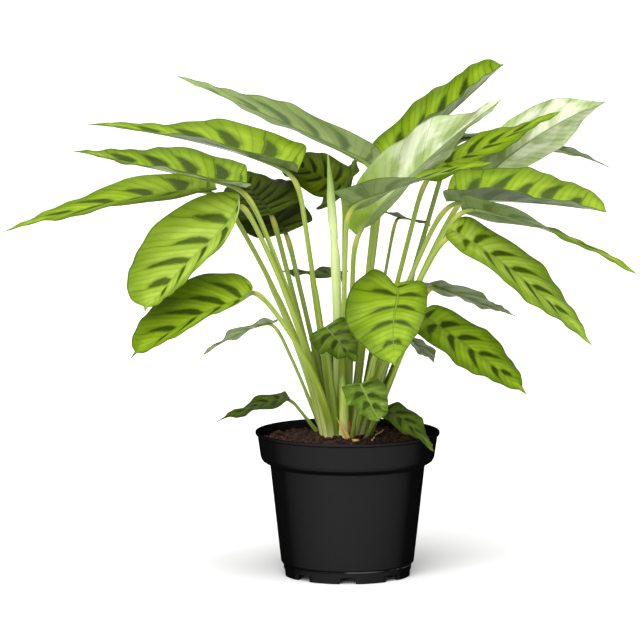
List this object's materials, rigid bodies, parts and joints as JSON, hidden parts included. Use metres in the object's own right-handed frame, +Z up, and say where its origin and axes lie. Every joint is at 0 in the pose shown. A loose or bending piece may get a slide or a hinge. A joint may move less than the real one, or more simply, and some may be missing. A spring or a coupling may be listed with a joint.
{
  "type": "potted plant",
  "caption": "Calathea houseplant with lance-shaped leaves on slender stalks, growing in a round stepped nursery pot filled with potting soil.",
  "frame": {"origin": "centre of the pot's underside, on the pot's axis, where it meets the table", "axes": "+Z up along the pot's axis, -Y the plant's front, +X its right as seen from the front"},
  "size_m": [0.4733, 0.2674, 0.3833],
  "materials": {
    "pot_plastic": "satin black moulded plastic",
    "potting_soil": "crumbly dark brown",
    "leaf_green": "waxy yellow-green",
    "shoot_green": "waxy pale green",
    "dry_straw": "dry straw"
  },
  "bodies": {
    "root": {"pot": "pot_plastic", "soil": "potting_soil", "leaf_top_left": "leaf_green", "leaf_left_high": "leaf_green", "leaf_left_middle": "leaf_green", "leaf_left_far": "leaf_green", "leaf_left_broad": "leaf_green", "leaf_left_low": "leaf_green", "leaf_left_small": "leaf_green", "leaf_left_rim": "leaf_green", "leaf_back_small": "leaf_green", "leaf_back_left_upper": "leaf_green", "leaf_back_left_lower": "leaf_green", "leaf_back_high": "leaf_green", "leaf_back_centre": "leaf_green", "leaf_centre_across": "leaf_green", "leaf_centre_pale": "leaf_green", "leaf_top_right": "leaf_green", "leaf_right_upper": "leaf_green", "leaf_right_pale": "leaf_green", "leaf_back_right": "leaf_green", "leaf_right_middle": "leaf_green", "leaf_right_far": "leaf_green", "leaf_right_droop": "leaf_green", "leaf_right_low": "leaf_green", "leaf_right_small": "leaf_green", "leaf_back_right_low": "leaf_green", "leaf_front_heart": "leaf_green", "leaf_front_dark": "leaf_green", "leaf_front_small": "leaf_green", "leaf_rim_right": "leaf_green", "leaf_back_right_small": "leaf_green", "leaf_inner_dark": "leaf_green", "leaf_rolled": "shoot_green", "shoot": "shoot_green", "dry_sheath": "dry_straw", "root_fibre": "dry_straw"}
  },
  "joints": []
}
